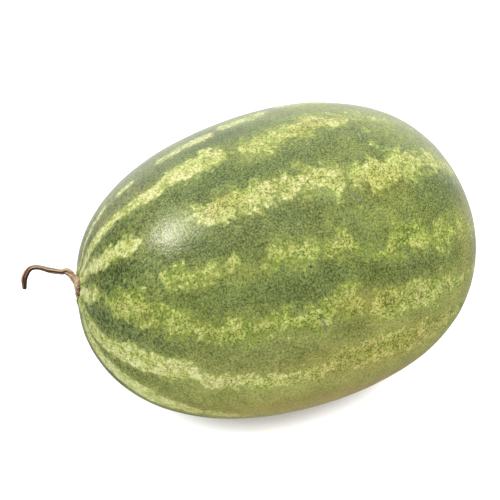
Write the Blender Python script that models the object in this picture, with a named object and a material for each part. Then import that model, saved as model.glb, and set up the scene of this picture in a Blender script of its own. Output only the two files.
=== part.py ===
import math

import bmesh
import bpy
from mathutils import Euler, Matrix, Vector

# Fruit, in metres: half the length of the round it swells from, and that round's radius
half_length = 0.1614
belly_radius = 0.1206

# Shares of the radius gained along the fruit, for each power of the distance from its middle
profile_shares = (0.060, 0.140, 0.018, 0.009)

# Share of the height lost as the heavy fruit lies on its side
slump = 0.048

# Where the stem and the blossom scar sit: turn and tilt off the long axis, and a slight shift of both
ends_turn = math.radians(-8.3)
ends_tilt = math.radians(8.0)
ends_shift = Vector((0, -0.002, 0.020))

# Flattening around the stem and at the blossom scar: depth and width in metres
stem_dent = (0.0042, 0.036)
blossom_dent = (0.0015, 0.020)

# Resting pose: point of balance in the fruit, its tilt, and where that point stands over the flat spot
balance_point = Vector((0.0044, 0, 0))
resting_tilt = math.radians(-1.6)
balance_stands_at = Vector((-0.0028, 0, 0.1121))
flat_blend = 0.0015

# Fruit mesh
fruit_segments = 96
fruit_rings = 48
ring_gathering = 0.15

# Stem: the way it points out of the fruit, the gap under its foot, and how deep its ridges are
stem_rise = math.radians(10.4)
stem_heading = math.radians(169.8)
stem_gap = 0.0003
stem_segments = 20
ridge_count = 5
ridge_depth = 0.07

# Its way from the seat to the free end, in millimetres out, aside and up, each with the radius there
stem_way = (
    (0, -1, 1, 7.4),
    (1, -1, 1.5, 7.8),
    (2, -1.5, 2, 7.0),
    (3.5, -4.5, 4.5, 4.2),
    (6.5, -8.5, 7, 2.8),
    (9.5, -10, 7.5, 2.7),
    (13, -10.5, 6.5, 2.0),
    (21, -13.5, 6, 1.7),
    (29.5, -17, 6.5, 1.5),
    (35.5, -18, 4.5, 1.6),
    (39.5, -15, -1.5, 1.8),
    (39.5, -10.5, -7, 1.6),
)
rings_between = 2
stem_end_length = 0.0005
stem_end_share = 0.6

# The stem's rings lie flat in its foot and turn to follow it between these heights
foot_height = 0.002
root_height = 0.006


def clear_scene():
    for thing in list(bpy.data.objects):
        bpy.data.objects.remove(thing)


def plain_material(name, colour, roughness):
    material = bpy.data.materials.new(name)
    material.use_nodes = True
    shader = material.node_tree.nodes["Principled BSDF"]
    shader.inputs["Base Color"].default_value = (*colour, 1)
    shader.inputs["Roughness"].default_value = roughness
    shader.inputs["Metallic"].default_value = 0
    return material


def fruit_direction(along, angle):
    """Direction from the fruit's middle for a place between the stem, at -1, and the blossom scar, at 1."""
    across = math.sqrt(max(0, 1 - along * along))
    outward = Vector((along, across * math.cos(angle), across * math.sin(angle))) + ends_shift
    turned = Matrix.Rotation(ends_turn, 3, "Z") @ Matrix.Rotation(ends_tilt, 3, "Y")
    return turned @ outward.normalized()


def ovoid_point(direction):
    swelling = 1
    for power, share in enumerate(profile_shares, start=1):
        swelling += share * direction.x**power
    radius = belly_radius * swelling
    return Vector((half_length * direction.x, radius * direction.y, radius * direction.z * (1 - slump)))


def end_frame(along):
    """The stem or blossom end of the smooth ovoid, with the way it faces."""
    nearby = along * 0.995
    around = [ovoid_point(fruit_direction(nearby, quarter * math.pi / 2)) for quarter in range(4)]
    facing = (around[0] - around[2]).cross(around[1] - around[3]).normalized()
    return ovoid_point(fruit_direction(along, 0)), facing * math.copysign(1, along * facing.x)


def settle(point):
    settled = Matrix.Rotation(resting_tilt, 3, "Y") @ (point - balance_point) + balance_stands_at
    if settled.z <= -flat_blend:
        settled.z = 0
    elif settled.z < flat_blend:
        settled.z = (settled.z + flat_blend) ** 2 / (4 * flat_blend)
    return settled


def fruit_point(along, angle, ends):
    point = ovoid_point(fruit_direction(along, angle))
    for end, facing, (depth, width) in ends:
        near = math.exp(-(((point - end).length / width) ** 2))
        point = point - facing * depth * near
    return settle(point)


def dented_ends():
    return [(*end_frame(-1), stem_dent), (*end_frame(1), blossom_dent)]


def ring_position(height):
    polar = math.acos(max(-1, min(1, -height)))
    return -math.cos(polar - ring_gathering * math.sin(2 * polar))


def finish_object(name, mesh_data, material):
    mesh = bpy.data.meshes.new(name)
    mesh_data.to_mesh(mesh)
    mesh_data.free()
    mesh.materials.append(material)
    mesh.shade_smooth()
    mesh.set_sharp_from_angle(angle=math.radians(40))
    made = bpy.data.objects.new(name, mesh)
    bpy.context.scene.collection.objects.link(made)
    return made


def make_fruit():
    shape = bmesh.new()
    ends = dented_ends()
    bmesh.ops.create_uvsphere(shape, u_segments=fruit_segments, v_segments=fruit_rings, radius=1)
    for vertex in shape.verts:
        angle = math.atan2(vertex.co.y, vertex.co.x)
        vertex.co = fruit_point(ring_position(vertex.co.z), angle, ends)
    rind = plain_material("green rind", (0.19, 0.26, 0.07), 0.42)
    return finish_object("fruit", shape, rind)


def smooth_between(before, start, end, after, share):
    """Point on the curve that passes evenly through start and end on its way between their neighbours."""
    bend = (3 * start - before - 3 * end + after) * share**3
    swing = (2 * before - 5 * start + 4 * end - after) * share**2
    return start + ((end - before) * share + swing + bend) / 2


def stem_centres():
    knots = [Vector(knot) / 1000 for knot in stem_way]
    centres = []
    for index in range(len(knots) - 1):
        before = knots[max(index - 1, 0)]
        after = knots[min(index + 2, len(knots) - 1)]
        for step in range(rings_between):
            centres.append(smooth_between(before, knots[index], knots[index + 1], after, step / rings_between))
    last = knots[-1]
    tip = last + (last - centres[-1]).normalized() * stem_end_length
    tip.w = last.w * stem_end_share
    return [*centres, last, tip]


def ring_directions(centres):
    """Rings follow the stem, and turn to face straight out of the fruit within the foot."""
    straight_out = Vector((1, 0, 0))
    last = len(centres) - 1
    directions = []
    for index in range(last + 1):
        along_stem = centres[min(index + 1, last)] - centres[max(index - 1, 0)]
        share = (centres[index].x - foot_height) / (root_height - foot_height)
        turned = straight_out.lerp(along_stem.normalized(), max(0, min(1, share)))
        directions.append(turned.normalized())
    return directions


def stem_ring_points(centre, direction, radius):
    turn = Vector((1, 0, 0)).rotation_difference(direction)
    points = []
    for step in range(stem_segments):
        angle = math.tau * step / stem_segments
        ridged = radius * (1 + ridge_depth * math.cos(ridge_count * angle))
        around = Vector((0, ridged * math.cos(angle), ridged * math.sin(angle)))
        points.append(centre + turn @ around)
    return points


def move_ring(face, old_points, new_points):
    for vertex in face.verts:
        nearest = min(range(stem_segments), key=lambda step: (vertex.co - old_points[step]).length)
        vertex.co = new_points[nearest]


def make_stem(fruit):
    sized_centres = stem_centres()
    centres = [sized.to_3d() for sized in sized_centres]
    rings = []
    for sized, centre, direction in zip(sized_centres, centres, ring_directions(centres)):
        rings.append(stem_ring_points(centre, direction, sized.w))
    shape = bmesh.new()
    bmesh.ops.create_circle(shape, cap_ends=True, segments=stem_segments, radius=1)
    cap = shape.faces[:][0]
    for vertex, point in zip(cap.verts, rings[0]):
        vertex.co = point
    for index in range(1, len(rings)):
        grown = bmesh.ops.extrude_face_region(shape, geom=[cap])
        if index > 1:
            bmesh.ops.delete(shape, geom=[cap], context="FACES_ONLY")
        cap = next(item for item in grown["geom"] if isinstance(item, bmesh.types.BMFace))
        move_ring(cap, rings[index - 1], rings[index])
    bmesh.ops.recalc_face_normals(shape, faces=shape.faces)
    wood = plain_material("dried stem", (0.29, 0.2, 0.12), 0.8)
    stem = finish_object("stem", shape, wood)
    stem.parent = fruit
    stem.rotation_euler = Euler((0, -stem_rise, stem_heading))
    outward = stem.rotation_euler.to_matrix() @ Vector((1, 0, 0))
    stem.location = fruit_point(-1, 0, dented_ends()) + outward * stem_gap
    return stem


clear_scene()
make_stem(make_fruit())
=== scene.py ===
import math
import random

import bmesh
import bpy
import numpy as np
from mathutils import Euler, Matrix, Vector, noise


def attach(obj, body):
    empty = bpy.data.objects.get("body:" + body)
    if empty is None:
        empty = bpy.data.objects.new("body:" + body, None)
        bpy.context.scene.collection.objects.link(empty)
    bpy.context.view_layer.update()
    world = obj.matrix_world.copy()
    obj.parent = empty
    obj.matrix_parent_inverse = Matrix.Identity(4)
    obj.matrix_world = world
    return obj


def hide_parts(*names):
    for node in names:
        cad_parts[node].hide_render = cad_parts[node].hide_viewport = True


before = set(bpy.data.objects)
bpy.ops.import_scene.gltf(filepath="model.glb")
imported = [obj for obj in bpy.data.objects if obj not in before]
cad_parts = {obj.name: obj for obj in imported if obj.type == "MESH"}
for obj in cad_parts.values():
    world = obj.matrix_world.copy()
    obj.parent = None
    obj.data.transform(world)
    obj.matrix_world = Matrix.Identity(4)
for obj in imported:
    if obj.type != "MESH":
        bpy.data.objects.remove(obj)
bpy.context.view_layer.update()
print("frame loaded")


# small helpers

millimetres = 1000      # in a metre


def hexColour(text):
    # sRGB hex to the linear colour that Blender's sockets take
    channels = [int(text[start:start + 2], 16) / 255 for start in (1, 3, 5)]
    return (*[c / 12.92 if c <= 0.04045 else ((c + 0.055) / 1.055) ** 2.4 for c in channels], 1)


def addNode(tree, kind, settings=None, links=None):
    # adds one node: a setting goes to the socket of that name or number, or else to the node itself
    node = tree.nodes.new(kind)
    for name, value in (settings or {}).items():
        if name == "stops":
            ramp = node.color_ramp
            while len(ramp.elements) < len(value):
                ramp.elements.new(1)
            for element, (place, colour) in zip(ramp.elements, value):
                element.position = place
                element.color = hexColour(colour)
        elif isinstance(name, int) or name in node.inputs:
            node.inputs[name].default_value = value
        else:
            setattr(node, name, value)
    for name, source in (links or {}).items():
        tree.links.new(source, node.inputs[name])
    return node


def newMaterial(name):
    material = bpy.data.materials.new(name)
    material.use_nodes = True
    return material, material.node_tree, material.node_tree.nodes["Principled BSDF"]


def finishPiece(name, shape, material):
    mesh = bpy.data.meshes.new(name)
    shape.to_mesh(mesh)
    shape.free()
    mesh.materials.append(material)
    mesh.shade_smooth()
    piece = bpy.data.objects.new(name, mesh)
    bpy.context.scene.collection.objects.link(piece)
    return piece


def giveAttribute(piece, name, values):
    # one number, or one vector, for each of the piece's points
    values = np.asarray(values, dtype=np.float32)
    isVector = values.ndim == 2
    attribute = piece.data.attributes.new(name, "FLOAT_VECTOR" if isVector else "FLOAT", "POINT")
    attribute.data.foreach_set("vector" if isVector else "value", values.ravel())


def hump(distance, middle, width):
    # a smooth hump, 1 at its middle
    return math.exp(-(((distance - middle) / width) ** 2))


# camera, light and floor

shot = {
    "stands": Vector((-0.3174, -0.637, 0.7173)),
    "looksAt": Vector((-0.0226, 0.0138, 0.1179)),
    "lens": 85,
    "sensor": 36,
    "clip": (0.05, 30),
}

studio = {
    # the room is brightest behind and above the fruit: its brightness on the camera's side and on the far
    # side, and between which cosines it changes
    "roomWay": (0.25, 0.60, 0.75),
    "roomDark": 0.55,
    "roomBright": 1.15,
    "roomSpan": (-0.5, 0.6),
    # the wax mirrors a bright wall behind the fruit
    "shineWay": (0.43, 0.84, 0.20),
    "shineDark": 0.18,
    "shineBright": 1.3,
    "shineSpan": (0.38, 0.80),
    # a soft lamp gives the highlight
    "keyWay": Vector((-0.543, 0.184, 0.819)),
    "keyDistance": 1.5,
    "keySize": 0.23,
    "keyPower": 15.5,
    "keyTone": "#fffbe6",
    # a wide lamp above
    "topWay": Vector((0.1, -0.1, 1)),
    "topDistance": 1.8,
    "topPower": 26.0,
    "topSize": 2.2,
    "lampsAimAt": Vector((0, 0, 0.12)),
    "floorSize": 8.0,
    "floorDrop": 0.0003,
    "floorTone": "#bcbcbc",
    "floorGlow": (0.20, 0.84),      # glow in the painted contact shadow under the fruit, and in the open
    # how far from the fruit the painted contact shadow reaches
    "paintedShadowReach": 0.023,
    "paintedShadowOpenness": (0.34, 0.74),       # between which shares of open sky the glow changes, which paints the contact shadow
}


def makeCamera():
    data = bpy.data.cameras.new("camera")
    data.lens = shot["lens"]
    data.sensor_width = shot["sensor"]
    data.clip_start, data.clip_end = shot["clip"]
    camera = bpy.data.objects.new("camera", data)
    bpy.context.scene.collection.objects.link(camera)
    camera.location = shot["stands"]
    camera.rotation_euler = (shot["looksAt"] - shot["stands"]).to_track_quat("-Z", "Y").to_euler()
    bpy.context.scene.camera = camera


def makeRoom():
    world = bpy.data.worlds.new("white room")
    bpy.context.scene.world = world
    world.use_nodes = True
    tree = world.node_tree
    background = tree.nodes["Background"]
    background.inputs["Color"].default_value = (1, 1, 1, 1)
    way = addNode(tree, "ShaderNodeTexCoord").outputs["Generated"]
    brightness = []
    for part in ("room", "shine"):
        towards = addNode(tree, "ShaderNodeVectorMath", {"operation": "DOT_PRODUCT", 1: studio[part + "Way"]},
                          {0: way})
        glow = addNode(tree, "ShaderNodeMapRange", {
            "From Min": studio[part + "Span"][0], "From Max": studio[part + "Span"][1],
            "To Min": studio[part + "Dark"], "To Max": studio[part + "Bright"]},
            {"Value": towards.outputs["Value"]})
        brightness.append(glow.outputs[0])
    glossy = addNode(tree, "ShaderNodeLightPath").outputs["Is Glossy Ray"]
    strength = addNode(tree, "ShaderNodeMix", {"data_type": "FLOAT"},
                       {0: glossy, 2: brightness[0], 3: brightness[1]})
    tree.links.new(strength.outputs[0], background.inputs["Strength"])


def makeLamp(name, way, distance, size, power):
    data = bpy.data.lights.new(name, "AREA")
    data.shape = "DISK"
    data.size = size
    data.energy = power
    lamp = bpy.data.objects.new(name, data)
    bpy.context.scene.collection.objects.link(lamp)
    lamp.location = studio["lampsAimAt"] + way.normalized() * distance
    lamp.rotation_euler = (-way).to_track_quat("-Z", "Y").to_euler()
    return lamp


def makeLamps():
    keyLamp = makeLamp("key lamp", studio["keyWay"], studio["keyDistance"], studio["keySize"],
                       studio["keyPower"])
    keyLamp.data.color = hexColour(studio["keyTone"])[:3]
    keyLamp.visible_diffuse = False       # it only gives the highlight
    topLamp = makeLamp("top lamp", studio["topWay"], studio["topDistance"], studio["topSize"],
                       studio["topPower"])
    topLamp.visible_glossy = False


def makeFloorMaterial():
    # Opal acrylic, cast and dull: it glows evenly, and a painted contact shadow dims the glow where the fruit
    # leans over it
    material, tree, shader = newMaterial("opal acrylic floor, glowing, with painted contact shadow")
    shader.inputs["Base Color"].default_value = hexColour(studio["floorTone"])
    shader.inputs["Roughness"].default_value = 0.9
    shader.inputs["Specular IOR Level"].default_value = 0.1
    shader.inputs["Emission Color"].default_value = (1, 1, 1, 1)
    # painted contact shadow: occlusion by the fruit lowers the floor's glow
    nearby = addNode(tree, "ShaderNodeAmbientOcclusion", {"Distance": studio["paintedShadowReach"], "samples": 8})
    glow = addNode(tree, "ShaderNodeMapRange", {
        "From Min": studio["paintedShadowOpenness"][0], "From Max": studio["paintedShadowOpenness"][1],
        "To Min": studio["floorGlow"][0], "To Max": studio["floorGlow"][1]},
        {"Value": nearby.outputs["AO"]})
    tree.links.new(glow.outputs[0], shader.inputs["Emission Strength"])
    return material


def makeFloor(material):
    shape = bmesh.new()
    bmesh.ops.create_grid(shape, x_segments=1, y_segments=1, size=studio["floorSize"] / 2)
    bmesh.ops.translate(shape, verts=shape.verts, vec=(0, 0, -studio["floorDrop"]))
    floor = finishPiece("floor", shape, material)
    floor.visible_glossy = False      # the dull wax doesn't mirror the floor


makeCamera()
makeRoom()
makeLamps()
makeFloor(makeFloorMaterial())
bpy.context.scene.view_settings.view_transform = "Standard"
print("camera, light and floor made")


# the fruit

fruitForm = {
    # the same measures as the plain solid, in metres
    "halfLength": 0.1614,
    "bellyRadius": 0.1206,
    "profileShares": (0.060, 0.140, 0.018, 0.009),
    "slump": 0.048,
    "endsTurn": math.radians(-8.3),
    "endsTilt": math.radians(8.0),
    "endsShift": Vector((0, -0.002, 0.020)),
    "stemDent": (0.0042, 0.036),
    "blossomDent": (0.0015, 0.020),
    "balancePoint": Vector((0.0044, 0, 0)),
    "restingTilt": math.radians(-1.6),
    "balanceStandsAt": Vector((-0.0028, 0, 0.1121)),
    "flatBlend": 0.0015,
    "ringAtEnds": 0.995,        # the ring that tells which way an end faces, as a share of the way to it
    # the finer mesh
    "segments": 384,
    "rings": 200,
    "ringGathering": 0.15,
    # its small relief: width and height of each kind of swell, then the puckers at both ends, with how far
    # from the end and how wide their bands are
    "swells": ((0.048, 0.00055), (0.021, 0.00024), (0.009, 0.00008)),
    "puckerCount": 11,
    "puckerHeight": 0.00035,
    "puckerWander": (60, 1.5),      # noise: cells to the metre, and strength
    "stemPuckers": (0.013, 0.007),
    "blossomPuckers": (0.010, 0.005),
    # the low rim round the stem's foot, and the corky button at the blossom end with its own rim in shares
    # of its radius
    "rimHeight": 0.0015,
    "rimRadius": 0.0115,
    "rimWidth": 0.0045,
    "scarRadius": 0.0055,
    "scarHeight": 0.0007,
    "scarRim": (0.8, 0.28),
    "scarEnd": 1.6,
    "scarRoughness": (900, 0.5),    # noise, in the same way
    "reliefWholeAt": 0.006,     # height above the flat spot from which the relief is whole
}

# Light stripes, by their way from stem to blossom end. Each knot is degrees from the stem, degrees around
# from the far side over the top, and half the stripe's width in degrees, where a minus is a break. Cream
# and ragged are given at degrees from the stem.
stripes = (
    {"cream": ((8, 1.15), (50, 1.1), (90, 0.8), (150, 0.6)),
     "ragged": ((8, 0.12), (60, 0.35), (100, 0.6)),
     "knots": (
        (8, 66, 3), (15, 66, 3.5), (30, 66, 3), (33, 67, -3), (36, 70, 3), (41, 70, 3), (44, 70, -3),
        (49, 70, -3), (51, 69, 2.6), (68, 69, 3), (69.5, 67, -2), (71, 66, 2.6), (84, 65, 2.6), (87, 61, -2),
        (91, 60, 3), (105, 59, 3.5), (122, 60, 3), (140, 62, 2.5), (158, 64, 1), (170, 64, -2))},
    {"cream": ((8, 1.2), (30, 1.1), (60, 1.05), (75, 0.8), (100, 0.75), (125, 0.5)),
     "ragged": ((8, 0.1), (45, 0.28), (56, 0.7), (80, 1)),
     "knots": (
        (6, 90, 9), (14, 90, 7.5), (17, 90, 6.5), (22, 90.5, 5.8), (30, 91, 4.6), (40, 91.5, 3.8),
        (48, 91, 3.9), (52, 89, 5.8), (59, 88.5, 5.6), (64, 87, 5.8), (68, 87, 4), (69.5, 88, -3),
        (72, 89, -3), (73, 89.5, 4), (78, 89, 5), (85, 86, 5), (90, 84, 6), (96, 83, 5), (101, 83, 4),
        (107, 80, 3), (111, 79, 3), (117, 81.5, 2.2), (125, 80, 0), (140, 79, -2), (165, 78, -4))},
    {"cream": ((8, 1.25), (20, 1.2), (32, 1.1), (60, 0.95), (90, 0.92), (105, 0.9), (118, 0.82), (140, 0.8)),
     "ragged": ((8, 0.3), (26, 0.45), (40, 0.6), (60, 0.85), (80, 1)),
     "knots": (
        (6, 112, 8), (11, 112, 7), (15, 114, 8), (20, 117, 7.5), (26, 117, 6.5), (30, 116, 5.5),
        (34, 117, 5.5), (38, 118.5, 4.5), (41, 117, 0), (43, 115, -4), (52, 114, -4), (54, 114, 3.5),
        (59, 114, 4), (64, 114, 5), (68, 114, 6), (73, 112.5, 4.8), (79, 112, 5), (86, 111, 5),
        (91, 110.5, 4.5), (95, 113, 6), (97, 112, 3), (98.3, 111, -2), (99.5, 111, 3), (102, 111, 4),
        (103.8, 111, -1), (105, 112.5, 6), (111, 112.5, 6.5), (112.5, 107, 6.5), (120, 107.5, 6.5),
        (123, 105.5, 3.8), (127, 102, 5), (132, 101.5, 5), (137, 100, 4), (143, 100, 2), (152, 100, -1),
        (168, 98, -3))},
    {"cream": ((45, 0.76), (60, 0.74), (80, 0.6), (115, 0.65), (150, 0.7)),
     "ragged": ((8, 1), (150, 1)),
     "knots": (
        (10, 136, -4), (44, 137.5, -4), (46, 137.5, 3.5), (54, 138.5, 3.5), (57, 139.5, 3.5), (61, 137, 3),
        (66, 136, 2), (69, 139, 0), (73, 140, 0), (76, 136, 4), (87, 136, 4), (89, 135, 0), (90.5, 135, 4),
        (97, 135, 4), (98.5, 138, 0.5), (107, 141, 0.5), (109, 137, 5), (121, 137, 5), (123, 136.5, 0),
        (125, 136, 5), (131, 136, 5), (134, 134, 2.5), (143, 133.5, 2.5), (155, 133, 0), (168, 132, -3))},
    {"cream": ((7, 1.15), (14, 1.1), (20, 0.95), (27, 0.7), (40, 0.6), (50, 0.6), (65, 0.64), (90, 0.68),
               (130, 0.7), (150, 0.85)),
     "ragged": ((8, 0.3), (14, 0.5), (20, 0.7), (30, 0.9), (60, 1)),
     "knots": (
        (5, 158, 16), (11, 154, 12), (17, 150, 9), (20, 147, 7), (22, 147, -2), (25.5, 150, -2),
        (27.5, 152, 7), (33, 152, 8.5), (40, 152, 8), (42, 155, 6), (48, 158, 7), (54, 160, 5),
        (56, 161.5, 3.5), (71, 162.5, 3.5), (75, 161, 4), (91, 161, 4), (92.5, 155, 4), (97, 155, 5),
        (99.4, 156, 4), (102, 159, 1), (104, 159.5, 6), (112, 159.5, 7), (113, 159.5, 5), (126, 159.5, 5.5),
        (135, 160, 4), (145, 161, 4), (160, 162, 1), (170, 162, -2))},
    {"cream": ((7, 0.9), (20, 1.05), (35, 1.15), (60, 0.98), (75, 0.92), (95, 0.75), (130, 0.7)),
     "ragged": ((8, 0.2), (40, 0.4), (60, 0.6), (150, 0.8)),
     "knots": (
        (5, 190, 14), (13, 191, 10), (20, 190, 8), (29, 187, 8), (35, 183, 8), (41, 183, 7.5), (50, 183, 6),
        (56, 182, 5), (60, 185, 4), (75, 185, 4), (91, 184, 4), (95, 180, 6), (110, 179, 8), (130, 182, 8),
        (150, 184, 4), (168, 186, -2))},
    {"cream": ((8, 1.1), (35, 1.35), (55, 1.05), (90, 0.65)),
     "ragged": ((8, 0.2), (60, 0.4), (150, 0.6)),
     "knots": (
        (8, 214, 10), (18, 213, 9), (30, 211, 8), (45, 210, 7.5), (55, 210, 5), (70, 212, 3), (90, 212, 2),
        (120, 212, 6), (150, 210, 4), (168, 210, -2))},
)

hiddenStripes = {
    # the far side goes on in the same way: seven more stripes, drawn by a seeded chance, in degrees
    "centres": (238, 265, 291, 317, 344, 371, 398),
    "seed": 41,
    "start": (8, 3),            # place and half width
    "knotsFrom": 15,
    "knotsTo": 150,
    "knotEvery": 7.5,
    "knotSpread": (0.6, 1.4),
    "halfWidth": (3.4, 7.0),
    "wander": 3.2,
    "end": (168, -2),
    "breakChance": 0.14,
    "breakSpan": (-2, 1),       # where a break starts and ends, from its place
    "breakStep": 3,             # where the stripe goes on
    "breakWidth": -3,
    "cream": (0.5, 0.95),
    "creamPlaces": (10, 50, 90, 130),
    "ragged": ((8, 0.15), (30, 0.5), (60, 1)),
}

# Deeper green patches between the stripes: degrees from the stem, degrees around, half length and half
# width in degrees, and how deep
shades = (
    (28, 103, 15, 7, 0.2), (34, 134, 17, 11, 0.55), (30, 168, 14, 9, 0.85), (84, 150, 15, 7, 0.9),
    (115, 149, 12, 5, 0.8), (80, 170, 12, 4, 0.45), (60, 101, 20, 6, 0.5), (76, 122, 7, 6, 0.35),
    (140, 118, 18, 10, 0.4), (60, 78, 26, 5, 0.35), (100, 320, 40, 16, 0.5), (60, 280, 30, 12, 0.4),
    (50, 20, 30, 14, 0.6), (120, 30, 26, 12, 0.5), (60, 149, 12, 6, 0.5),
)

# Lighter patches, browner ones, and places between the stripes with a scatter of pale crumbs, all given in
# the same way
lightPatches = (
    (93, 122, 11, 7, 0.2), (100, 117, 6, 6, 0.45), (112, 76, 12, 9, 0.5), (70, 138, 6, 6, 0.5),
    (66, 198, 26, 8, 0.95), (85, 345, 22, 12, 0.5), (110, 275, 18, 10, 0.4), (152, 150, 14, 40, 0.9),
)
warmPatches = (
    (28, 78, 20, 6, 0.6), (103, 158, 9, 6, 0.5), (112, 181, 26, 9, 0.7), (98, 206, 34, 9, 0.9),
    (92, 84, 4, 4, 0.5), (66, 112, 6, 4, 0.3), (108, 116, 8, 5, 0.4), (80, 300, 20, 8, 0.4),
    (158, 120, 20, 60, 0.45),
)
crumbPatches = (
    (107, 95, 9, 6, 1), (119, 88, 10, 6, 0.9), (103, 127, 8, 5, 0.8), (84, 122, 7, 4, 0.5),
    (62, 152, 10, 4, 0.5), (70, 330, 18, 6, 0.8), (112, 252, 16, 7, 0.9), (90, 25, 14, 6, 0.7),
)

# Small old scratches: both ends as degrees from the stem and around, and half the width in millimetres
scratches = (
    ((89.2, 160.5), (91.2, 166.0), 0.8), ((106.3, 98.5), (108.6, 103.5), 0.7),
    ((97.9, 104.5), (98.7, 122.0), 1.3), ((103.5, 103.0), (104.0, 110.5), 1.0),
    ((98.8, 118.0), (101.2, 120.8), 1.6), ((64.5, 338), (66, 345), 0.8), ((120, 262), (127, 266), 0.9),
)

rindLook = {
    # centre and half size, in degrees, of the spot that lay on the soil and of the yellower flank beside it
    "groundSpot": (112, 238, 50, 42),
    "oliveSide": (120, 195, 60, 34),
    # degrees from the stem to which the spots are coarse, and over how many degrees they fade
    "coarseEnd": 48,
    "coarseFade": 24,
    # how a patch fades towards its rim
    "patchPower": 1.5,
    "patchFade": 0.7,
    "edgeReach": 40.0,          # millimetres from a stripe's edge that count
    "scratchReach": 0.03,       # metres round a scratch, and the millimetres that stand for far from one
    "scratchFar": 20.0,
    # sizes of the patterns in metres: the stripes' ragged bays, lobes, crumbs and specks
    "fray": 0.013,
    "lobe": 0.0062,
    "crumb": 0.0030,
    "speck": 0.0016,
    # paler patches in the stripes, the net of veins, and the warmer and cooler places
    "patch": 0.009,
    "vein": 0.0030,
    "hue": 0.016,
    # the mottled green: fine grains, dots, coarse spots near the stem, and clouds
    "fineMottle": 0.0013,
    "dot": 0.0027,
    "coarseCell": 0.0034,
    "cloud": 0.030,
    # bends that turn round cells into crumbs, and how far they go
    "bend": 0.004,
    "bendReach": 0.003,
    # how far in millimetres each pattern moves the stripes' edge
    "frayDepth": 30.0,
    "lobeDepth": 11.0,
    "crumbDepth": 16.0,
    "speckDepth": 8.0,
    "lobeMiddle": 0.85,         # twice the mean distance within a lobe
    "crispest": 0.2,            # softness of an edge that isn't ragged
    # millimetres into a stripe between which its core, its fringe and the paler green outside it come in
    "core": (0.2, 1.7),
    "fringe": (-3.2, -1.2),
    "halo": (-13, -2),
    "haloPaleness": 0.06,
    # how far along the range of greens each pattern moves the ground, and where the range starts
    "greenStart": -0.085,
    "grainShare": 0.98,
    "cloudShare": 0.48,
    "dotShare": -0.10,
    "veinShare": -0.15,
    "shadeShare": -0.12,
    "coarseShares": (-0.15, 0.05),
    # the same for the stripes, along the range from olive to cream
    "paleStart": -0.60,
    "paleGrains": 0.70,
    "paleShares": {"crumb": 0.40, "patch": 0.60, "cream": 0.42, "veins": -0.30},
    # a crumb patch stands for this many millimetres into a stripe, from this far outside it
    "crumbPatchDepth": 11.5,
    "crumbPatchFrom": -14,
    # the skin's finish: the dull bloom as sheen, and the smooth wax as a thin coat
    "roughness": 0.28,
    "bloom": 0.02,
    "wax": 0.05,
    "grainHeight": 0.0004,
}


def fruitDirection(along, angle):
    across = math.sqrt(max(0, 1 - along * along))
    outward = Vector((along, across * math.cos(angle), across * math.sin(angle))) + fruitForm["endsShift"]
    turned = Matrix.Rotation(fruitForm["endsTurn"], 3, "Z") @ Matrix.Rotation(fruitForm["endsTilt"], 3, "Y")
    return turned @ outward.normalized()


def ovoidPoint(direction):
    swelling = 1
    for power, share in enumerate(fruitForm["profileShares"], start=1):
        swelling += share * direction.x**power
    radius = fruitForm["bellyRadius"] * swelling
    height = radius * direction.z * (1 - fruitForm["slump"])
    return Vector((fruitForm["halfLength"] * direction.x, radius * direction.y, height))


def endFrame(along):
    # the stem or blossom end of the smooth ovoid, with the way it faces
    nearby = along * fruitForm["ringAtEnds"]
    around = [ovoidPoint(fruitDirection(nearby, quarter * math.pi / 2)) for quarter in range(4)]
    facing = (around[0] - around[2]).cross(around[1] - around[3]).normalized()
    return ovoidPoint(fruitDirection(along, 0)), facing * math.copysign(1, along * facing.x)


def settle(point):
    # lays the fruit down on its small flat spot
    turned = Matrix.Rotation(fruitForm["restingTilt"], 3, "Y") @ (point - fruitForm["balancePoint"])
    settled = turned + fruitForm["balanceStandsAt"]
    blend = fruitForm["flatBlend"]
    if settled.z <= -blend:
        settled.z = 0
    elif settled.z < blend:
        settled.z = (settled.z + blend) ** 2 / (4 * blend)
    return settled


def fruitPoint(along, angle, ends):
    point = ovoidPoint(fruitDirection(along, angle))
    for end, facing, (depth, width) in ends:
        point = point - facing * depth * hump((point - end).length, 0, width)
    return settle(point)


dentedEnds = [(*endFrame(-1), fruitForm["stemDent"]), (*endFrame(1), fruitForm["blossomDent"])]
stemEnd = fruitPoint(-1, 0, dentedEnds)
blossomEnd = fruitPoint(1, 0, dentedEnds)


def ringPolar(height):
    # angle of a ring from the stem, with the rings gathered a little towards both ends
    polar = math.acos(max(-1, min(1, -height)))
    return polar - fruitForm["ringGathering"] * math.sin(2 * polar)


def reliefAt(point, angle):
    # height of the small swells, the puckers, the rim round the stem and the corky button at the scar
    form = fruitForm
    fromStem = (point - stemEnd).length
    fromBlossom = (point - blossomEnd).length
    wanderScale, wander = form["puckerWander"]
    pucker = math.cos(form["puckerCount"] * angle + wander * noise.noise(point * wanderScale))
    height = sum(noise.noise(point / width) * tall for width, tall in form["swells"])
    height += form["puckerHeight"] * pucker * hump(fromStem, *form["stemPuckers"])
    height += form["rimHeight"] * hump(fromStem, form["rimRadius"], form["rimWidth"])
    height += form["puckerHeight"] * pucker * hump(fromBlossom, *form["blossomPuckers"])
    scarShare = fromBlossom / form["scarRadius"]
    if scarShare < form["scarEnd"]:
        roughScale, roughness = form["scarRoughness"]
        rough = 1 + roughness * noise.noise(point * roughScale)
        height += form["scarHeight"] * rough * hump(scarShare, *form["scarRim"])
    return height * min(1, max(0, point.z / form["reliefWholeAt"]))


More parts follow.
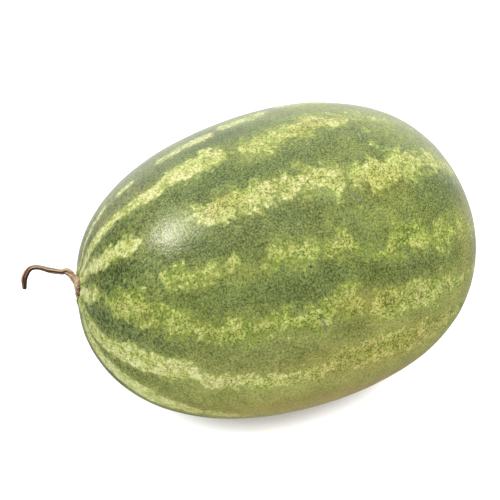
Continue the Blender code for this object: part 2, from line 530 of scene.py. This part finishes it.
def hiddenKnots():
    # the far side's stripes, in the form of the seen ones
    form = hiddenStripes
    chance = random.Random(form["seed"])
    rows = []
    for centre in form["centres"]:
        knots = [(form["start"][0], centre, form["start"][1])]
        polar = form["knotsFrom"]
        while polar < form["knotsTo"]:
            if chance.random() < form["breakChance"]:
                knots.extend((polar + step, centre, form["breakWidth"]) for step in form["breakSpan"])
                polar += form["breakStep"]
            aside = centre + chance.uniform(-1, 1) * form["wander"]
            knots.append((polar, aside, chance.uniform(*form["halfWidth"])))
            polar += form["knotEvery"] * chance.uniform(*form["knotSpread"])
        knots.append((form["end"][0], centre, form["end"][1]))
        tones = [(place, chance.uniform(*form["cream"])) for place in form["creamPlaces"]]
        rows.append({"cream": tones, "ragged": form["ragged"], "knots": knots})
    return rows


def stripeFields(polar, around, fromAxis):
    # millimetres into the nearest stripe, a minus outside it, and how creamy and ragged that stripe is there
    reach = rindLook["edgeReach"]
    depth = np.full(polar.shape, -reach)
    cream = np.zeros(polar.shape)
    ragged = np.ones(polar.shape)
    for stripe in (*stripes, *hiddenKnots()):
        places, centres, halves = np.array(stripe["knots"]).T
        centre = np.interp(polar, places, centres)
        half = np.interp(polar, places, halves)
        aside = np.abs((around - centre + 180) % 360 - 180)
        inside = (half - aside) * np.radians(1) * fromAxis * millimetres
        nearer = inside > depth
        depth = np.where(nearer, inside, depth)
        cream = np.where(nearer, np.interp(polar, *np.array(stripe["cream"]).T), cream)
        ragged = np.where(nearer, np.interp(polar, *np.array(stripe["ragged"]).T), ragged)
    return np.clip(depth, -reach, reach), cream, ragged


def patchField(polar, around, patches):
    # how strongly each point lies in the strongest patch there
    total = np.zeros(polar.shape)
    for place, angle, halfLength, halfWidth, deep in patches:
        aside = (around - angle + 180) % 360 - 180
        reach = ((polar - place) / halfLength) ** 2 + (aside / halfWidth) ** 2
        total = np.maximum(total, deep * np.exp(-reach ** rindLook["patchPower"] * rindLook["patchFade"]))
    return total


def scratchField(places):
    # how far each point lies from the middle of the nearest scratch, in its half widths, and how many
    # millimetres inside its ends
    across = np.full(len(places), rindLook["scratchFar"])
    inside = np.full(len(places), -rindLook["scratchFar"])
    for start, end, halfWidth in scratches:
        ends = [fruitPoint(-math.cos(math.radians(polar)), math.radians(angle), dentedEnds)
                for polar, angle in (start, end)]
        run = (ends[1] - ends[0]).normalized()
        side = run.cross((ends[0] + ends[1]) / 2 - fruitForm["balanceStandsAt"]).normalized()
        offset = places - np.array(ends[0])
        near = np.linalg.norm(places - np.array(ends[0] + ends[1]) / 2, axis=1) < rindLook["scratchReach"]
        along = offset @ np.array(run) * millimetres
        length = (ends[1] - ends[0]).length * millimetres
        across = np.where(near, offset @ np.array(side) * millimetres / halfWidth, across)
        inside = np.where(near, np.minimum(along, length - along), inside)
    return across, inside


def markFruit(fruit, polar, around):
    # the fields that the rind's material reads, for every point; polar and around are in degrees
    look = rindLook
    places = np.empty(len(fruit.data.vertices) * 3)
    fruit.data.vertices.foreach_get("co", places)
    places = places.reshape(-1, 3)
    axis = np.array(blossomEnd - stemEnd)
    axis /= np.linalg.norm(axis)
    fromStem = places - np.array(stemEnd)
    fromAxis = np.linalg.norm(fromStem - np.outer(fromStem @ axis, axis), axis=1)
    depth, cream, ragged = stripeFields(polar, around, fromAxis)
    crumbs = look["crumbPatchDepth"] * patchField(polar, around, crumbPatches) + look["crumbPatchFrom"]
    across, inside = scratchField(places)
    fields = {
        "stripe": np.maximum(depth, crumbs),
        "cream": cream,
        "ragged": ragged,
        "shade": patchField(polar, around, shades) - patchField(polar, around, lightPatches),
        "warm": patchField(polar, around, warmPatches),
        "groundSpot": patchField(polar, around, [(*look["groundSpot"], 1)]),
        "oliveSide": patchField(polar, around, [(*look["oliveSide"], 1)]),
        "coarse": np.clip((look["coarseEnd"] + look["coarseFade"] / 2 - polar) / look["coarseFade"], 0, 1),
        "scratchAcross": across,
        "scratchInside": inside,
        "fromBlossom": np.linalg.norm(places - np.array(blossomEnd), axis=1) * millimetres,
    }
    for name, values in fields.items():
        giveAttribute(fruit, name, values)


def makeFruit(material):
    shape = bmesh.new()
    bmesh.ops.create_uvsphere(
        shape, u_segments=fruitForm["segments"], v_segments=fruitForm["rings"], radius=1)
    polars = []
    angles = []
    for vertex in shape.verts:
        angle = math.atan2(vertex.co.y, vertex.co.x)
        polar = ringPolar(vertex.co.z)
        vertex.co = fruitPoint(-math.cos(polar), angle, dentedEnds)
        polars.append(polar)
        angles.append(angle)
    shape.normal_update()
    for vertex, angle in zip(shape.verts, angles):
        vertex.co += vertex.normal * reliefAt(vertex.co, angle)
        vertex.co.z = max(0, vertex.co.z)
    bmesh.ops.recalc_face_normals(shape, faces=shape.faces)
    fruit = finishPiece("rind", shape, material)
    markFruit(fruit, np.degrees(np.array(polars)), np.degrees(np.array(angles)) % 360)
    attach(fruit, "root")
    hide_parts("fruit")
    return fruit


def rindPatterns(tree):
    # the patterns of the skin, each from its real size
    look = rindLook
    place = addNode(tree, "ShaderNodeTexCoord").outputs["Object"]
    bend = addNode(tree, "ShaderNodeTexNoise", {"Scale": 1 / look["bend"], "Detail": 2}, {"Vector": place})
    centred = addNode(tree, "ShaderNodeVectorMath", {"operation": "SUBTRACT", 1: (0.5, 0.5, 0.5)},
                      {0: bend.outputs["Color"]})
    bent = addNode(tree, "ShaderNodeVectorMath", {"operation": "MULTIPLY_ADD", 1: (look["bendReach"],) * 3},
                   {0: centred.outputs[0], 2: place}).outputs[0]
    pattern = {}
    noises = {
        "fray": (place, 4, 0.6), "crumb": (bent, 2, 0.5), "speck": (place, 2, 0.6), "patch": (place, 2, 0.5),
        "hue": (place, 3, 0.6), "fineMottle": (place, 2, 0.7), "cloud": (place, 4, 0.6)}
    for name, (where, detail, roughness) in noises.items():
        made = addNode(tree, "ShaderNodeTexNoise", {"Scale": 1 / look[name], "Detail": detail,
                                                    "Roughness": roughness}, {"Vector": where})
        pattern[name] = made.outputs["Fac"]
    cells = {"lobe": {"feature": "SMOOTH_F1", "Smoothness": 0.3}, "vein": {"feature": "DISTANCE_TO_EDGE"},
             "dot": {"feature": "F1"}, "coarseCell": {"feature": "F1"}}
    for name, settings in cells.items():
        made = addNode(tree, "ShaderNodeTexVoronoi", {**settings, "Scale": 1 / look[name]}, {"Vector": bent})
        pattern[name] = made.outputs["Distance"]
        if name == "dot":
            pattern["dotChance"] = made.outputs["Color"]

    # a fine net of darker veins, broken here and there
    net = addNode(tree, "ShaderNodeMapRange", {"From Min": 0.03, "From Max": 0.20, "To Min": 1, "To Max": 0},
                  {"Value": pattern["vein"]})
    presence = addNode(tree, "ShaderNodeMapRange", {"From Min": 0.42, "From Max": 0.56},
                       {"Value": pattern["speck"]})
    pattern["veins"] = addNode(tree, "ShaderNodeMath", {"operation": "MULTIPLY"},
                               {0: net.outputs[0], 1: presence.outputs[0]}).outputs[0]
    return pattern


def stripeMasks(tree, field, pattern):
    # the stripes' core, their fringe, and a faint halo outside, from the millimetres into a stripe as moved
    # by bays, lobes, crumbs and specks, which come to nothing on average
    look = rindLook
    raised = look["frayDepth"] + look["crumbDepth"] + look["speckDepth"]
    middle = (raised - look["lobeDepth"] * look["lobeMiddle"]) / 2
    moved = addNode(tree, "ShaderNodeMath", {"operation": "MULTIPLY_ADD", 1: look["frayDepth"], 2: -middle},
                    {0: pattern["fray"]})
    depths = {"lobe": -look["lobeDepth"], "crumb": look["crumbDepth"], "speck": look["speckDepth"]}
    for name, depth in depths.items():
        moved = addNode(tree, "ShaderNodeMath", {"operation": "MULTIPLY_ADD", 1: depth},
                        {0: pattern[name], 2: moved.outputs[0]})
    moved = addNode(tree, "ShaderNodeMath", {"operation": "MULTIPLY_ADD"},
                    {0: field["ragged"], 1: moved.outputs[0], 2: field["stripe"]})
    crispest = look["crispest"]
    softness = addNode(tree, "ShaderNodeMath", {"operation": "MULTIPLY_ADD", 1: 1 - crispest, 2: crispest},
                       {0: field["ragged"]})      # a smooth edge is also a crisp one
    edge = addNode(tree, "ShaderNodeMath", {"operation": "DIVIDE"},
                   {0: moved.outputs[0], 1: softness.outputs[0]}).outputs[0]
    core = addNode(tree, "ShaderNodeMapRange", {
        "interpolation_type": "SMOOTHSTEP", "From Min": look["core"][0], "From Max": look["core"][1]},
        {"Value": edge})
    fringe = addNode(tree, "ShaderNodeMapRange", {
        "interpolation_type": "SMOOTHSTEP", "From Min": look["fringe"][0], "From Max": look["fringe"][1]},
        {"Value": edge})
    halo = addNode(tree, "ShaderNodeMapRange", {
        "From Min": look["halo"][0], "From Max": look["halo"][1], "To Max": look["haloPaleness"]},
        {"Value": edge})
    return core.outputs[0], fringe.outputs[0], halo.outputs[0]


def groundColour(tree, field, pattern, halo):
    # mottled green between the stripes: coarse spots near the stem, fine grains elsewhere
    look = rindLook
    dots = addNode(tree, "ShaderNodeMapRange", {"From Min": 0.40, "From Max": 0.14},
                   {"Value": pattern["dot"]})
    chosen = addNode(tree, "ShaderNodeMapRange", {
        "From Min": 0.45, "From Max": 0.75, "To Max": look["dotShare"]}, {"Value": pattern["dotChance"]})
    coarse = addNode(tree, "ShaderNodeMapRange", {
        "From Min": 0.22, "From Max": 0.58,
        "To Min": look["coarseShares"][0], "To Max": look["coarseShares"][1]},
        {"Value": pattern["coarseCell"]})
    tone = addNode(tree, "ShaderNodeMath", {
        "operation": "MULTIPLY_ADD", 1: look["grainShare"], 2: look["greenStart"]},
        {0: pattern["fineMottle"]})
    tone = addNode(tree, "ShaderNodeMath", {"operation": "MULTIPLY_ADD", 1: look["cloudShare"]},
                   {0: pattern["cloud"], 2: tone.outputs[0]})
    tone = addNode(tree, "ShaderNodeMath", {"operation": "MULTIPLY_ADD"},
                   {0: dots.outputs[0], 1: chosen.outputs[0], 2: tone.outputs[0]})
    tone = addNode(tree, "ShaderNodeMath", {"operation": "MULTIPLY_ADD", 1: look["veinShare"]},
                   {0: pattern["veins"], 2: tone.outputs[0]})
    tone = addNode(tree, "ShaderNodeMath", {"operation": "ADD"}, {0: tone.outputs[0], 1: halo}).outputs[0]
    shaded = addNode(tree, "ShaderNodeMath", {"operation": "MULTIPLY_ADD", 1: look["shadeShare"]},
                     {0: field["shade"], 2: tone})
    shaded = addNode(tree, "ShaderNodeMath", {"operation": "MULTIPLY_ADD"},
                     {0: field["coarse"], 1: coarse.outputs[0], 2: shaded.outputs[0]}).outputs[0]
    leaf = addNode(tree, "ShaderNodeValToRGB", {"stops": (
        (0.34, "#374119"), (0.46, "#4b5825"), (0.58, "#667135"), (0.70, "#7a843e"), (0.85, "#959c4e"),
        (1.0, "#b0b465"))}, {"Fac": shaded})
    sage = addNode(tree, "ShaderNodeValToRGB", {"stops": (
        (0.34, "#37441e"), (0.46, "#4c5b2b"), (0.58, "#65743d"), (0.70, "#7b8a48"), (0.85, "#94a059"),
        (1.0, "#aeb66f"))}, {"Fac": shaded})
    coolness = addNode(tree, "ShaderNodeMath", {"operation": "MULTIPLY_ADD", 1: 0.3},
                       {0: field["shade"], 2: pattern["hue"]})
    coolness = addNode(tree, "ShaderNodeMapRange", {"From Min": 0.46, "From Max": 0.70},
                       {"Value": coolness.outputs[0]})
    green = addNode(tree, "ShaderNodeMix", {"data_type": "RGBA"},
                    {0: coolness.outputs[0], 6: leaf.outputs[0], 7: sage.outputs[0]})
    olive = addNode(tree, "ShaderNodeValToRGB", {"stops": (
        (0.34, "#5d632b"), (0.50, "#7d823c"), (0.64, "#94974b"), (0.80, "#a8a45d"))}, {"Fac": tone})
    return addNode(tree, "ShaderNodeMix", {"data_type": "RGBA"},
                   {0: field["oliveSide"], 6: green.outputs[2], 7: olive.outputs[0]}).outputs[2]


def stripeColour(tree, field, pattern):
    # cream crumbs with olive specks, coarser and leafier near the stem
    coarseShare = addNode(tree, "ShaderNodeMath", {"operation": "MULTIPLY", 1: 0.75}, {0: field["coarse"]})
    grains = addNode(tree, "ShaderNodeMix", {"data_type": "FLOAT"},
                     {0: coarseShare.outputs[0], 2: pattern["fineMottle"], 3: pattern["crumb"]})
    pale = addNode(tree, "ShaderNodeMath", {
        "operation": "MULTIPLY_ADD", 1: rindLook["paleGrains"], 2: rindLook["paleStart"]},
        {0: grains.outputs[0]}).outputs[0]
    sources = {**field, **pattern}
    for name, share in rindLook["paleShares"].items():
        pale = addNode(tree, "ShaderNodeMath", {"operation": "MULTIPLY_ADD", 1: share},
                       {0: sources[name], 2: pale}).outputs[0]
    cream = addNode(tree, "ShaderNodeValToRGB", {"stops": (
        (0.22, "#5b6828"), (0.36, "#7d8938"), (0.48, "#99a04f"), (0.60, "#b3b368"), (0.74, "#cdc98a"),
        (0.90, "#d9d9b6"))}, {"Fac": pale})
    leafy = addNode(tree, "ShaderNodeValToRGB", {"stops": (
        (0.22, "#556626"), (0.36, "#788836"), (0.48, "#95a148"), (0.60, "#aeb55f"), (0.74, "#c5c982"),
        (0.90, "#d6d8a6"))}, {"Fac": pale})
    leafiness = addNode(tree, "ShaderNodeMath", {"operation": "MULTIPLY_ADD", 1: 0.12},
                        {0: field["coarse"], 2: pattern["hue"]})
    leafiness = addNode(tree, "ShaderNodeMapRange", {"From Min": 0.42, "From Max": 0.60},
                        {"Value": leafiness.outputs[0]})
    return addNode(tree, "ShaderNodeMix", {"data_type": "RGBA"},
                   {0: leafiness.outputs[0], 6: cream.outputs[0], 7: leafy.outputs[0]}).outputs[2]


def scratchMask(tree, field, pattern):
    # slightly bent lines that fade at both ends
    bent = addNode(tree, "ShaderNodeMath", {"operation": "MULTIPLY_ADD", 1: 5.0, 2: -2.5},
                   {0: pattern["crumb"]})
    bent = addNode(tree, "ShaderNodeMath", {"operation": "ADD"},
                   {0: bent.outputs[0], 1: field["scratchAcross"]})
    bent = addNode(tree, "ShaderNodeMath", {"operation": "ABSOLUTE"}, {0: bent.outputs[0]})
    line = addNode(tree, "ShaderNodeMapRange", {"From Min": 1.4, "From Max": 0.5, "To Max": 0.85},
                   {"Value": bent.outputs[0]})
    ended = addNode(tree, "ShaderNodeMapRange", {"From Min": -1, "From Max": 1.5},
                    {"Value": field["scratchInside"]})
    return addNode(tree, "ShaderNodeMath", {"operation": "MULTIPLY"},
                   {0: line.outputs[0], 1: ended.outputs[0]}).outputs[0]


def addMarks(tree, field, pattern, skin):
    # weathered browner patches, and old scratches, healed grey
    skin = addNode(tree, "ShaderNodeMix", {
        "data_type": "RGBA", "blend_type": "MULTIPLY", 7: hexColour("#ffe8cf")},
        {0: field["warm"], 6: skin}).outputs[2]
    skin = addNode(tree, "ShaderNodeMix", {"data_type": "RGBA", 7: hexColour("#6b7058")},
                   {0: scratchMask(tree, field, pattern), 6: skin}).outputs[2]

    # the creamy spot where the fruit lay on the soil
    spotEdge = addNode(tree, "ShaderNodeMath", {"operation": "MULTIPLY_ADD", 1: 0.5},
                       {0: pattern["fray"], 2: field["groundSpot"]})
    spotMask = addNode(tree, "ShaderNodeMapRange", {
        "interpolation_type": "SMOOTHSTEP", "From Min": 0.62, "From Max": 1.15, "To Max": 0.9},
        {"Value": spotEdge.outputs[0]})
    spotTone = addNode(tree, "ShaderNodeValToRGB", {"stops": (
        (0.36, "#85783c"), (0.50, "#a09154"), (0.66, "#ae9f69"))}, {"Fac": pattern["speck"]})
    skin = addNode(tree, "ShaderNodeMix", {"data_type": "RGBA"},
                   {0: spotMask.outputs[0], 6: skin, 7: spotTone.outputs[0]}).outputs[2]

    # corky brown at the blossom scar, in millimetres from its middle
    corkEdge = addNode(tree, "ShaderNodeMath", {"operation": "MULTIPLY_ADD", 1: -4.0},
                       {0: pattern["speck"], 2: field["fromBlossom"]})
    corkMask = addNode(tree, "ShaderNodeMapRange", {"From Min": 4.6, "From Max": 3.0},
                       {"Value": corkEdge.outputs[0]})
    return addNode(tree, "ShaderNodeMix", {"data_type": "RGBA", 7: hexColour("#8a7350")},
                   {0: corkMask.outputs[0], 6: skin}).outputs[2]


def makeRindMaterial():
    # Watermelon rind, grown: a smooth waxy skin over mottled green, with ragged cream stripes. The wax
    # gives a broad soft shine and pales the skin where it turns away.
    look = rindLook
    material, tree, shader = newMaterial("watermelon rind, grown and waxy")
    names = ("stripe", "ragged", "cream", "shade", "warm", "scratchAcross", "scratchInside", "groundSpot",
             "oliveSide", "coarse", "fromBlossom")
    field = {}
    for name in names:
        field[name] = addNode(tree, "ShaderNodeAttribute", {"attribute_name": name}).outputs["Fac"]
    pattern = rindPatterns(tree)
    core, fringe, halo = stripeMasks(tree, field, pattern)
    ground = groundColour(tree, field, pattern, halo)
    stripe = stripeColour(tree, field, pattern)
    # the stripes' fringe is yellow-green
    fringeTone = addNode(tree, "ShaderNodeMix", {"data_type": "RGBA", 0: 0.4, 6: hexColour("#75862f")},
                         {7: stripe})
    skin = addNode(tree, "ShaderNodeMix", {"data_type": "RGBA"},
                   {0: fringe, 6: ground, 7: fringeTone.outputs[2]})
    skin = addNode(tree, "ShaderNodeMix", {"data_type": "RGBA"}, {0: core, 6: skin.outputs[2], 7: stripe})
    skin = addMarks(tree, field, pattern, skin.outputs[2])
    tree.links.new(skin, shader.inputs["Base Color"])

    # wax: uneven dullness and a very slight grain
    dull = addNode(tree, "ShaderNodeMapRange", {
        "To Min": look["roughness"] - 0.05, "To Max": look["roughness"] + 0.10}, {"Value": pattern["cloud"]})
    tree.links.new(dull.outputs[0], shader.inputs["Roughness"])
    bumps = addNode(tree, "ShaderNodeMath", {"operation": "MULTIPLY_ADD", 1: 1.3},
                    {0: pattern["crumb"], 2: pattern["fineMottle"]})
    grain = addNode(tree, "ShaderNodeBump", {"Strength": 0.32, "Distance": look["grainHeight"]},
                    {"Height": bumps.outputs[0]})
    tree.links.new(grain.outputs[0], shader.inputs["Normal"])
    shader.inputs["IOR"].default_value = 1.45
    shader.inputs["Coat Weight"].default_value = look["wax"]
    shader.inputs["Coat Roughness"].default_value = 0.28
    shader.inputs["Sheen Weight"].default_value = look["bloom"]
    shader.inputs["Sheen Roughness"].default_value = 0.5
    return material


makeFruit(makeRindMaterial())
print("fruit made")


# the stem

stemForm = {
    "rise": math.radians(10.4),
    "heading": math.radians(169.8),
    "segments": 72,
    "rings": 150,
    # its way from the seat to the free end, in millimetres out, aside and up, each with the radius there
    "way": (
        (0, -1, 1, 7.6), (0.9, -1, 1.3, 7.9), (1.9, -1.4, 1.7, 7.3), (2.6, -2.4, 2.6, 5.6),
        (3.2, -4.2, 4.3, 3.5), (4.8, -6.2, 5.7, 2.5), (6.8, -8.6, 7, 2.4), (9.5, -10.2, 7.6, 2.3),
        (13, -10.5, 7, 1.8), (21, -13.7, 6.2, 1.9), (29.5, -17, 6.7, 1.6), (35.5, -18, 4.6, 1.8),
        (39.3, -15, -1.5, 2.1), (39.3, -10.3, -7.3, 1.6)),
    # the rings lie flat in the foot, and turn to follow the stem between these metres out of the fruit
    "footHeight": 0.002,
    "rootRise": 0.004,
    # ribs and fibres as shares of the radius, how they twist, and the uneven lumps
    "ridges": 5,
    "ridgeDepth": 0.15,
    "ridgeSharpness": 0.8,
    "ridgeInFoot": 0.5,         # share of their depth that the ribs keep in the foot
    "fibres": 19,
    "fibreDepth": 0.035,
    "fibreWaver": (2, 3),
    "twist": 2.6,
    "fibreTwist": 1.4,
    "lumps": (0.09, 0.05),
    "lumpsAround": 1.6,
    "lumpsAlong": 22,
    "fineLumps": 3.1,
    # shares of the rings that close the foot's underside and the broken tip, and how far in metres the tip
    # stands out
    "footShare": 0.10,
    "tipShare": 0.05,
    "tipPush": 0.0013,
    "tipRoughness": 0.6,
    # shares of the way: the last one read, and the step over which its direction is taken
    "lastShare": 0.99999,
    "wayStep": 0.01,
    # the way whose facing side gets painted shade and how strong it is, and shares along the stem with how
    # dark its tone is and how rusty it is there
    "paintedShadeWay": Vector((0.33, -0.72, -0.61)),
    "paintedShadeStrength": 1.6,
    "darkness": ((0, 0.6), (0.23, 0.4), (0.31, 0.1), (0.5, 0.05), (0.56, 0.35), (0.85, 0.4), (1, 0.9)),
    "rust": ((0.28, 0.2), (0.45, 0.5), (0.54, 0), (0.80, 0), (0.87, 0.8), (0.95, 0.4), (1, 0)),
    # sizes of the blotches and the grain in metres, and how finely streaks divide the stem around and along
    "blotch": 0.006,
    "grainHeight": 0.0004,
    "streaksAround": 2,
    "streaksAlong": 9,
}


def smoothBetween(before, start, end, after, share):
    bend = (3 * start - before - 3 * end + after) * share**3
    swing = (2 * before - 5 * start + 4 * end - after) * share**2
    return start + ((end - before) * share + swing + bend) / 2


def stemStation(share):
    # centre and radius, in metres, at a share of the way from the seat to the tip
    knots = [Vector(knot) / millimetres for knot in stemForm["way"]]
    place = min(max(share, 0), stemForm["lastShare"]) * (len(knots) - 1)
    index = int(place)
    before = knots[max(index - 1, 0)]
    after = knots[min(index + 2, len(knots) - 1)]
    return smoothBetween(before, knots[index], knots[index + 1], after, place - index)


def stemPoint(share, angle):
    # the uneven ribbed skin of the stem: a closed foot, the long twisted shaft and a closed tip
    form = stemForm
    foot, tip = form["footShare"], form["tipShare"]
    along = min(max((share - foot) / (1 - foot - tip), 0), 1)
    station = stemStation(along)
    centre = station.to_3d()
    ahead = stemStation(along + form["wayStep"]).to_3d() - stemStation(along - form["wayStep"]).to_3d()
    lean = min(1, max(0, (centre.x - form["footHeight"]) / form["rootRise"]))
    facing = Vector((1, 0, 0)).lerp(ahead.normalized(), lean).normalized()
    radius = station.w
    turn = form["twist"] * along
    ribs = math.cos(form["ridges"] * (angle + turn))
    ribs = math.copysign(abs(ribs) ** form["ridgeSharpness"], ribs)
    waver = form["fibreWaver"][0] * math.sin(form["fibreWaver"][1] * angle)
    fibres = math.cos(form["fibres"] * (angle + form["fibreTwist"] * turn) + waver)
    ribsShown = form["ridgeInFoot"] + (1 - form["ridgeInFoot"]) * lean
    radius *= 1 + form["ridgeDepth"] * ribs * ribsShown + form["fibreDepth"] * fibres
    probe = Vector((math.cos(angle) * form["lumpsAround"], math.sin(angle) * form["lumpsAround"],
                    along * form["lumpsAlong"]))
    lumps = noise.noise(probe), noise.noise(probe * form["fineLumps"])
    radius *= 1 + form["lumps"][0] * lumps[0] + form["lumps"][1] * lumps[1]
    if share < foot:
        radius *= math.sin(share / foot * math.pi / 2)
    elif share > 1 - tip:
        closing = (share - 1 + tip) / tip
        radius *= math.sqrt(max(0, 1 - closing**2))
        rough = 1 + form["tipRoughness"] * noise.noise(probe * 2)
        centre = centre + facing * form["tipPush"] * closing * rough
    around = Vector((0, math.cos(angle), math.sin(angle))) * radius
    return centre + Vector((1, 0, 0)).rotation_difference(facing) @ around, along, turn


def makeStem(material):
    form = stemForm
    shape = bmesh.new()
    bmesh.ops.create_uvsphere(shape, u_segments=form["segments"], v_segments=form["rings"], radius=1)
    turned = Euler((0, -form["rise"], form["heading"])).to_matrix()
    fibreWay = []
    alongs = []
    for vertex in shape.verts:
        angle = math.atan2(vertex.co.y, vertex.co.x)
        share = math.acos(max(-1, min(1, -vertex.co.z))) / math.pi
        point, along, turn = stemPoint(share, angle)
        vertex.co = stemEnd + turned @ point
        around = form["streaksAround"]
        fibreWay.append((around * math.cos(angle + turn), around * math.sin(angle + turn),
                         along * form["streaksAlong"]))
        alongs.append(along)
    bmesh.ops.recalc_face_normals(shape, faces=shape.faces)
    shape.normal_update()
    # painted shade below and inside the curl, a darker tone along the stem, most at the broken tip, and a
    # minus on the opposite side, where painted light makes it paler
    darkness = np.interp(alongs, *np.array(form["darkness"]).T)
    # painted shade: the side facing the shade way is darkened, the opposite side lightened
    darkness += [form["paintedShadeStrength"] * vertex.normal.dot(form["paintedShadeWay"]) for vertex in shape.verts]
    stem = finishPiece("driedStem", shape, material)
    giveAttribute(stem, "fibreWay", fibreWay)
    giveAttribute(stem, "darkness", darkness)
    giveAttribute(stem, "rust", np.interp(alongs, *np.array(form["rust"]).T))
    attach(stem, "root")
    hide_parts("stem")
    return stem


def makeStemMaterial():
    # Watermelon stem, dried on the vine: ribbed woody fibre, tan, with red-brown blotches; painted light
    # makes the upper side paler and painted shade darkens the underside
    material, tree, shader = newMaterial("watermelon stem, dried and fibrous")
    way = addNode(tree, "ShaderNodeAttribute", {"attribute_name": "fibreWay"}).outputs["Vector"]
    darkness = addNode(tree, "ShaderNodeAttribute", {"attribute_name": "darkness"}).outputs["Fac"]
    rust = addNode(tree, "ShaderNodeAttribute", {"attribute_name": "rust"}).outputs["Fac"]
    place = addNode(tree, "ShaderNodeTexCoord").outputs["Object"]
    streaks = addNode(tree, "ShaderNodeTexNoise", {"Scale": 1.6, "Detail": 4, "Roughness": 0.6},
                      {"Vector": way}).outputs["Fac"]
    blotches = addNode(tree, "ShaderNodeTexNoise", {"Scale": 1 / stemForm["blotch"], "Detail": 2},
                       {"Vector": place})
    bark = addNode(tree, "ShaderNodeValToRGB", {"stops": (
        (0.36, "#453523"), (0.46, "#7c6447"), (0.55, "#aa906c"), (0.66, "#d0b691"))}, {"Fac": streaks})
    redness = addNode(tree, "ShaderNodeMapRange", {"From Min": 0.50, "From Max": 0.62, "To Max": 0.45},
                      {"Value": blotches.outputs["Fac"]})
    redness = addNode(tree, "ShaderNodeMath", {"operation": "MULTIPLY_ADD", 1: 0.7},
                      {0: rust, 2: redness.outputs[0]})
    colour = addNode(tree, "ShaderNodeMix", {"data_type": "RGBA", 7: hexColour("#9a5a42")},
                     {0: redness.outputs[0], 6: bark.outputs[0]})
    # painted light: the side turned away from the painted shade is mixed towards pale tan
    paintedTopLight = addNode(tree, "ShaderNodeMapRange", {"From Min": 0.0, "From Max": -0.5, "To Max": 0.6},
                       {"Value": darkness})
    colour = addNode(tree, "ShaderNodeMix", {"data_type": "RGBA", 7: hexColour("#cdb490")},
                     {0: paintedTopLight.outputs[0], 6: colour.outputs[2]})
    # painted shade on the side facing the shade way, plus the stem's darker tone along its length, multiplied
    # in as dark brown
    below = addNode(tree, "ShaderNodeMapRange", links={"Value": darkness})
    colour = addNode(tree, "ShaderNodeMix", {
        "data_type": "RGBA", "blend_type": "MULTIPLY", 7: hexColour("#54463a")},
        {0: below.outputs[0], 6: colour.outputs[2]})
    tree.links.new(colour.outputs[2], shader.inputs["Base Color"])
    grain = addNode(tree, "ShaderNodeBump", {"Strength": 0.6, "Distance": stemForm["grainHeight"]},
                    {"Height": streaks})
    tree.links.new(grain.outputs[0], shader.inputs["Normal"])
    shader.inputs["Roughness"].default_value = 0.72
    shader.inputs["IOR"].default_value = 1.5
    return material


makeStem(makeStemMaterial())
print("stem made")
